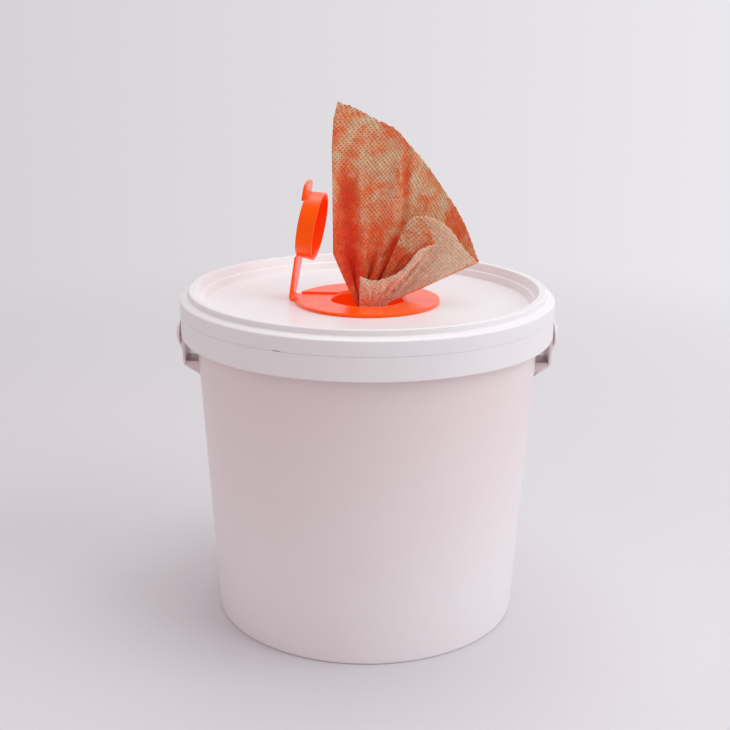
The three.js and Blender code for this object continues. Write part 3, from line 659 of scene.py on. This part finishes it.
def bail():
    """One moulding: a flat strip carried along two straight arms and half an ellipse, with
    rounded ends, and a domed button, pin and snap head turned about each pivot."""
    middle = BAIL_INSIDE + BAIL_THICKNESS / 2
    depth = bail_reach() - BAIL_THICKNESS / 2 - BAIL_ARM
    arm = np.concatenate([BAIL_WIDTH / 2 * np.sin(np.linspace(-1.5, 0, 7)), np.linspace(2, BAIL_ARM, 8)])
    sweep = np.linspace(0, np.pi, 97)[1:-1]
    across = np.concatenate([np.full(15, middle), middle * np.cos(sweep), np.full(15, -middle)])
    behind = np.concatenate([arm, BAIL_ARM + depth * np.sin(sweep), arm[::-1]])
    centre = np.stack([across, behind, 0 * across], -1)
    run = np.gradient(centre, axis=0)
    run /= np.linalg.norm(run, axis=1)[:, None]
    outward = np.stack([run[:, 1], -run[:, 0], 0 * across], -1)
    upwards = np.tile([0.0, 0.0, 1.0], (len(centre), 1))
    end = np.sqrt(np.clip((BAIL_WIDTH / 2) ** 2 - np.minimum(behind, 0) ** 2, 0.6, None))
    strip = carried(centre, outward, upwards, BAIL_THICKNESS / 2, end, 0.45)
    dome = (7.7 ** 2 + 1.9 ** 2) / (2 * 1.9)
    bow = np.linspace(math.asin(7.7 / dome), 0, 12)
    crown = np.stack([dome * np.sin(bow), BAIL_INSIDE + 2.6 - dome + dome * np.cos(bow)], -1)
    shank = rounded([
        (0, 107.3, 0), (3.5, 107.3, 0.3), (5, 108.7, 0.3), (5, 109.5, 0.3), (4, 109.5, 0.2),
        (4, BAIL_INSIDE, 0.2), (7.7, BAIL_INSIDE, 0.2), (7.7, BAIL_INSIDE + 0.7, 0)])
    button = turned(np.concatenate([shank, crown]), np.linspace(0, 2 * np.pi, 48, endpoint=False))
    parts = [strip] + [placed(button, axis_turn("Y", side * math.pi / 2)) for side in (-1, 1)]
    hang = axis_turn("X", -BAIL_HANG)
    parts = [placed(part, hang, (0, 0, PIVOT_HEIGHT)) for part in parts]
    return piece("bail_strip", parts, "handle", white, ["bail"])


def wipe_roll():
    """Wound ring: its top face rises and falls a little along a spiral of wound layers."""
    angles = np.linspace(0, 2 * np.pi, 120, endpoint=False)
    outer, bottom, top = wall_outer(FLOOR_TOP) - WALL - ROLL_ROOM, ROLL_BOTTOM, ROLL_TOP
    bore = ROLL_BORE
    face = np.linspace(outer - 2.4, bore + 2.4, 90)
    outside = rounded([(34, bottom, 0), (outer, bottom, 1), (outer, top, 2.2), (outer - 6, top, 0)])
    inside = rounded([(36, top, 0), (bore, top, 2.2), (bore, bottom, 0.8), (34, bottom, 0)])
    outline = np.concatenate([
        rounded([(bore + 1, bottom, 0), (bore, bottom, 0), (bore, bottom + 0.1, 0)])[:2],
        outside[FILLET_ROWS:-FILLET_ROWS],
        np.stack([face, np.full(90, top)], -1),
        inside[FILLET_ROWS:-FILLET_ROWS]])
    radius = outline[:, :1]
    on_top = (outline[:, 1:] > top - 0.01).astype(float)
    layers = 0.5 + 0.5 * np.sin(2 * np.pi * (radius / 3.7) + angles)
    slack = 0.5 + 0.5 * np.sin(radius / 9.0 + 2 * np.sin(angles))
    points, faces = turned(outline, angles, closed=True, lift=-on_top * (0.35 * layers + 0.5 * slack))
    return piece("roll_of_wipes", [(points, faces)], "pail", wound_cloth(), ["wipe_roll"])


def free_edge(shares):
    """Points at the given shares of the free edge's length: a centripetal curve through its
    points, each stretch a cubic whose end slopes come from the chords' square roots."""
    knots = np.concatenate([
        [2 * WIPE_FREE_EDGE[0] - WIPE_FREE_EDGE[1]], WIPE_FREE_EDGE,
        [2 * WIPE_FREE_EDGE[-1] - WIPE_FREE_EDGE[-2]]])
    chord = np.sqrt(np.linalg.norm(np.diff(knots, axis=0), axis=1))[:, None]
    first, start, end, last = knots[:-3], knots[1:-2], knots[2:-1], knots[3:]
    before, inside, after = chord[:-2], chord[1:-1], chord[2:]
    leave = (start - first) / before - (end - first) / (before + inside) + (end - start) / inside
    arrive = (end - start) / inside - (last - start) / (inside + after) + (last - end) / after
    leave, arrive = (leave * inside)[:, None], (arrive * inside)[:, None]
    start, end = start[:, None], end[:, None]
    step = np.linspace(0, 1, 24, endpoint=False)[None, :, None]
    curve = start + leave * step + (3 * (end - start) - 2 * leave - arrive) * step ** 2
    curve = curve + (2 * (start - end) + leave + arrive) * step ** 3
    curve = np.concatenate([curve.reshape(-1, 3), WIPE_FREE_EDGE[-1:]])
    length = np.concatenate([[0], np.cumsum(np.linalg.norm(np.diff(curve, axis=0), axis=1))])
    length /= length[-1]
    return np.stack([np.interp(shares, length, curve[:, axis]) for axis in range(3)], -1)


def ripple(first, second, seed):
    """Soft uneven waves over two parameters, about -1 to 1: a sum of six sines whose
    directions and phases come from a seed."""
    source = np.random.default_rng(seed)
    total = 0.0
    for octave in range(6):
        pace = source.uniform(0.6, 1.6, 2) * (1 + 0.6 * octave)
        total = total + np.sin(pace[0] * first + pace[1] * second * source.choice([-1, 1])
                               + source.uniform(0, 6.28)) / (1.6 + 0.7 * octave)
    return total / 1.6


# Places along the free edge, as shares of its length: where the back fan ends, where the right
# wall gives way to the front lobe, and where the low band starts
FAN_END = 0.47
LOBE_START = 0.67
BAND_START = 0.81
# Folds that fall away behind the fan: place along the free edge, half of the cloth they
# take, depth, and how far up the fan they fade out
BACK_FOLDS = [(0.07, 0.045, 5.0, 0.5), (0.17, 0.04, 6.0, 0.48), (0.29, 0.05, 6.5, 0.6),
              (0.41, 0.04, 5.0, 0.5)]
# Left edge between the neck and the tip: it turns sharply to the vertical at the first point
LEFT_EDGE = np.array([[-20.8, 4, 25.9], [-21.1, 4, 64.5], [-21.5, 4, 87.9], [-20.6, 4, 105.2]])


def bell(value, middle, width):
    """Smooth hump of height 1."""
    return np.exp(-((value - middle) / width) ** 2)


def left_course(neck, tip, shares):
    """Points at the given shares of the length of the straight pieces from the neck through
    the left edge's points to the tip."""
    path = np.concatenate([neck[None], LEFT_EDGE + [0, 0, FLANGE_TOP], tip[None]])
    length = np.concatenate([[0], np.cumsum(np.linalg.norm(np.diff(path, axis=0), axis=1))])
    return np.stack([np.interp(shares, length / length[-1], path[:, axis]) for axis in range(3)], -1)


def wipe_sheet(columns=340, stem_rows=12, neck_rows=10, fan_rows=106):
    """Points, map and tints of the sheet's middle surface. Across the cloth (0 to 1) each row
    runs the same folded course: a star of pleats in the stem, which eases through the slits
    into the neck's course, and from there each thread runs to its point of the free edge,
    N + t (F - N). Near the left edge it follows that edge's own course instead, moved by its
    distance from it. In the fan, the folds take up cloth near the neck and let it go further
    up; creases and ripples push the layer forwards and back."""
    cloth = np.linspace(0, 1, columns)[None, :]
    rise = np.linspace(0, 1, fan_rows + 1)[:, None]
    weight = np.ones_like(cloth * rise)
    depth = np.zeros_like(weight)
    for place, half, deep, top in BACK_FOLDS:
        hold = (1 - smooth(rise / top)) ** 0.8
        near = np.clip(1 - np.abs(cloth - place) / half, 0, 1)
        weight = weight * (1 - 0.9 * hold * smooth(near * 2.0))
        depth = depth + deep * hold * smooth(near)
    course = np.cumsum(weight, 1) - weight[:, :1]
    course = course / course[:, -1:]
    free = free_edge(course.ravel()).reshape(course.shape + (3,))
    free[..., 2] += FLANGE_TOP
    neck = np.stack([-3.75 + 0.25 * free[..., 0], 0.5 * free[..., 1],
                     np.full(course.shape, NECK_HEIGHT)], -1)
    up = rise[..., None]
    fan = neck + up * (free - neck)
    edge_line = left_course(neck[0, 0], free[0, 0], rise[:, 0])[:, None]
    edge_line = edge_line + (1 - up) * (neck - neck[:, :1]) + up * (free - free[:, :1])
    fan = fan + smooth(1 - course / 0.14)[..., None] * (edge_line - fan)
    back = smooth((FAN_END - course) / 0.03)
    front = 1 - back
    swell = np.sin(np.pi * np.clip(rise, 0, 1)) ** 0.8
    fan[..., 1] += back * depth * (1 - np.exp(-((1 - rise) / 0.02)))
    # Ridge and hollow of the left panel, hollow to the right of the middle panel
    across, height = fan[..., 0].copy(), fan[..., 2] - FLANGE_TOP
    ridge = -3.0 - 2.5 * smooth((height - 20) / 50) + 2 * bell(height, 8, 14)
    low_fade, high_fade = smooth(height / 18), smooth((100 - height) / 45)
    hollow = bell(across, ridge - 8, 5.0) * low_fade * high_fade
    crest = bell(across, ridge + 0.5, 2.4) * low_fade * high_fade
    valley_at = 10.5 + 11.5 * smooth((height - 8) / 45)
    valley = bell(across, valley_at, 2.6) * smooth(height / 15) * smooth((105 - height) / 30)
    fan[..., 1] += back * (3.5 * hollow - 3.0 * crest + 3.0 * valley)
    warp = ripple(across / 11.0, height / 13.0, 21)
    crumple = 1.1 * ripple(across / 8.0 + warp, height / 15.0, 5) + 0.4 * ripple(
        across / 3.2 + 1.5 * warp, height / 5.0 + warp, 17)
    fan[..., 1] += back * swell * crumple
    soft = 0.8 * ripple(course * 60, rise * 4, 8) + 0.35 * ripple(course * 150 + warp, rise * 14, 9)
    fan[..., 1] += front * swell * soft
    fan[..., 1] -= 2.5 * smooth((course - 0.8) / 0.03) * swell
    frayed = smooth((rise - 0.93) / 0.07)
    fan[..., 2] += frayed * 0.7 * ripple(course * 420, rise * 0, 11) * smooth((0.98 - course) / 0.02)
    # Stem and neck below the fan
    turn = np.radians(180 - 330 * cloth)
    loop = 5.0 - 3.0 * (0.5 + 0.5 * np.cos(2 * np.pi * STEM_PLEATS * cloth))
    slit = np.stack([loop * np.cos(turn), loop * np.sin(turn), 0 * cloth], -1)
    stem_height = np.linspace(STEM_BOTTOM, NECK_FLOOR, stem_rows, endpoint=False)[:, None]
    sway = 0.35 * np.sin(stem_height / 9.0 + 5 * cloth)
    stem = np.stack(np.broadcast_arrays(slit[..., 0] + sway, slit[..., 1], stem_height), -1)
    share = np.linspace(0, 1, neck_rows, endpoint=False)[:, None]
    eased = smooth(share)[..., None]
    neck_part = slit * (1 - eased) + fan[:1] * eased
    neck_part[..., 2] = NECK_FLOOR + (NECK_HEIGHT - NECK_FLOOR) * share
    points = np.concatenate([stem, neck_part, fan], 0)
    rows = points.shape[0]
    whole = np.concatenate([np.repeat(course[:1], rows - fan_rows - 1, 0), course], 0)
    # Map: length run along the row from the ridge, and height; in front of the right corner,
    # the layers are mapped as they face forwards
    stride = np.linalg.norm(np.diff(points, axis=1), axis=2)
    run = np.concatenate([np.zeros((rows, 1)), np.cumsum(stride, 1)], 1)
    start = np.take_along_axis(run, np.argmin(np.abs(whole - 0.14), 1)[:, None], 1)
    chart = np.stack([run - start, points[..., 2] + 0.2 * points[..., 1]], -1)
    facing = np.stack([points[..., 0] + 0.5 * points[..., 1],
                       points[..., 2] - 0.5 * points[..., 1]], -1)
    chart = np.where(whole[..., None] > FAN_END, facing, chart)
    # Tints: damp towards the bottom, and painted shade, a deep red in the hollow and valley of the back fan's
    # folds
    low = 1 - smooth((points[..., 2] - FLANGE_TOP - 5) / 60.0)
    fold_hollow_shade = np.zeros((rows, columns))
    fold_hollow_shade[-fan_rows - 1:] = back * (hollow + 0.4 * valley)
    damp_and_fold_shade = np.clip(0.55 * low + 0.75 * fold_hollow_shade, 0, 1)
    wall = smooth((whole - FAN_END - 0.005) / 0.02) * (1 - smooth((whole - LOBE_START) / 0.03))
    band = smooth((whole - BAND_START) / 0.01)
    return points, chart, damp_and_fold_shade, np.clip(wall + band, 0, 1)


def wipe():
    """The sheet as a thin closed cloth: its middle surface, thickened to both sides."""
    points, chart, damp_and_fold_shade, pale = wipe_sheet()
    rows, columns = points.shape[:2]
    faces = grid_faces(rows, columns, close_columns=False)
    mesh = bpy.data.meshes.new("wipe_sheet")
    mesh.from_pydata((points.reshape(-1, 3) * MM).tolist(), [], faces.tolist())
    layer = mesh.uv_layers.new(name="cloth")
    corner = np.zeros(len(mesh.loops), np.int32)
    mesh.loops.foreach_get("vertex_index", corner)
    layer.data.foreach_set("uv", (chart.reshape(-1, 2)[corner] * MM).ravel())
    for name, values in (("damp_and_fold_shade", damp_and_fold_shade), ("pale", pale)):
        attribute = mesh.attributes.new(name, "FLOAT", "POINT")
        attribute.data.foreach_set("value", values.ravel().astype(np.float32))
    mesh.polygons.foreach_set("use_smooth", [True] * len(mesh.polygons))
    mesh.materials.append(printed_wipe())
    made = bpy.data.objects.new("wipe_sheet", mesh)
    bpy.context.scene.collection.objects.link(made)
    shell = made.modifiers.new("thickness", "SOLIDIFY")
    shell.thickness = CLOTH_THICKNESS * MM
    shell.offset = 0.0
    bpy.context.view_layer.update()
    finished = bpy.data.meshes.new_from_object(made.evaluated_get(bpy.context.evaluated_depsgraph_get()))
    made.modifiers.clear()
    made.data = finished
    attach(made, "lid_unit")
    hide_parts("wipe")
    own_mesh(made)
    return made


def floor():
    """Level pale surface, wide enough for any view; it fades into the background with the
    distance from the pail, so that it has no visible edge."""
    mesh = bpy.data.meshes.new("studio_floor")
    span = 3.0
    mesh.from_pydata([(-span, -span, 0), (span, -span, 0), (span, span, 0), (-span, span, 0)],
                     [], [(0, 1, 2, 3)])
    made = bpy.data.objects.new("studio_floor", mesh)
    bpy.context.scene.collection.objects.link(made)
    material, tree, shader = finish_tree("pale_sweep")
    place = node(tree, "ShaderNodeTexCoord").outputs["Object"]
    shader.inputs["Base Color"].default_value = shade(226, 222, 226)
    shader.inputs["Roughness"].default_value = 0.9
    shader.inputs["Specular IOR Level"].default_value = 0.1
    distance = node(tree, "ShaderNodeVectorMath", {0: place}, operation="LENGTH").outputs[1]
    gone = node(tree, "ShaderNodeMapRange", {
        "Value": distance, "From Min": 0.25, "From Max": 1.15}, interpolation_type="SMOOTHSTEP")
    clear = node(tree, "ShaderNodeBsdfTransparent")
    mix = node(tree, "ShaderNodeMixShader", {
        0: gone.outputs["Result"], 1: shader.outputs[0], 2: clear.outputs[0]})
    tree.links.new(mix.outputs[0], tree.nodes["Material Output"].inputs["Surface"])
    mesh.materials.append(material)


def lamp(name, place, target, size, power, colour=(1, 1, 1)):
    """Square soft lamp at a place, turned towards a target."""
    light = bpy.data.lights.new(name, "AREA")
    light.size, light.energy, light.color = size, power, colour
    made = bpy.data.objects.new(name, light)
    made.location = place
    aim = Matrix.Translation(target).translation - made.location
    made.rotation_euler = aim.to_track_quat("-Z", "Y").to_euler()
    bpy.context.scene.collection.objects.link(made)


def studio():
    """Soft lamp to the right, a weak rosy one to the left, one above, and a pale even world
    that looks a little lighter to the right, as a wide sweep does."""
    lamp("right_lamp", (1.25, -0.45, 0.85), (0, 0, 0.12), 1.3, 10.5, (0.91, 1.0, 1.02))
    lamp("left_lamp", (-1.3, -0.9, 0.9), (0, 0, 0.12), 1.4, 2.2, (1.0, 0.83, 0.84))
    lamp("top_lamp", (0.1, 0.3, 1.6), (0, 0, 0.15), 1.2, 9.0, (0.93, 0.99, 1.0))
    world = bpy.data.worlds.new("studio_world")
    bpy.context.scene.world = world
    world.use_nodes = True
    tree = world.node_tree
    tree.nodes.clear()
    view = node(tree, "ShaderNodeTexCoord").outputs["Generated"]
    sideways = node(tree, "ShaderNodeSeparateXYZ", {0: view}).outputs["X"]
    seen = blend_colour(tree, spread(tree, sideways, -0.35, 0.35), shade(212, 207, 211), shade(237, 235, 240))
    backdrop = node(tree, "ShaderNodeBackground", {"Color": seen, "Strength": 1.0})
    glow = node(tree, "ShaderNodeBackground", {"Color": (1.0, 0.92, 0.93, 1), "Strength": 0.52})
    path = node(tree, "ShaderNodeLightPath").outputs
    direct = arithmetic(tree, "MAXIMUM", path["Is Camera Ray"], path["Is Glossy Ray"])
    direct = arithmetic(tree, "MAXIMUM", direct, path["Is Transmission Ray"])
    mix = node(tree, "ShaderNodeMixShader", {0: direct, 1: glow.outputs[0], 2: backdrop.outputs[0]})
    output = node(tree, "ShaderNodeOutputWorld")
    tree.links.new(mix.outputs[0], output.inputs["Surface"])
    bpy.context.scene.view_settings.view_transform = "Standard"


def camera():
    """The photograph's view: lens in millimetres on a 36 mm sensor, pitched down and rolled
    a little about the line of sight."""
    data = bpy.data.cameras.new("photo_camera")
    data.lens, data.sensor_width = 59.81, 36.0
    data.clip_start, data.clip_end = 0.05, 20.0
    made = bpy.data.objects.new("photo_camera", data)
    made.location = (-0.00121, -0.7149, 0.3597)
    pitch = Matrix.Rotation(math.radians(90 - 16.14), 3, "X")
    roll = Matrix.Rotation(math.radians(0.34), 3, "Z")
    made.rotation_euler = (pitch @ roll).to_euler()
    bpy.context.scene.collection.objects.link(made)
    bpy.context.scene.camera = made


camera()
bucket()
lid()
dispenser()
flip_cap()
bail()
wipe_roll()
wipe()
floor()
studio()
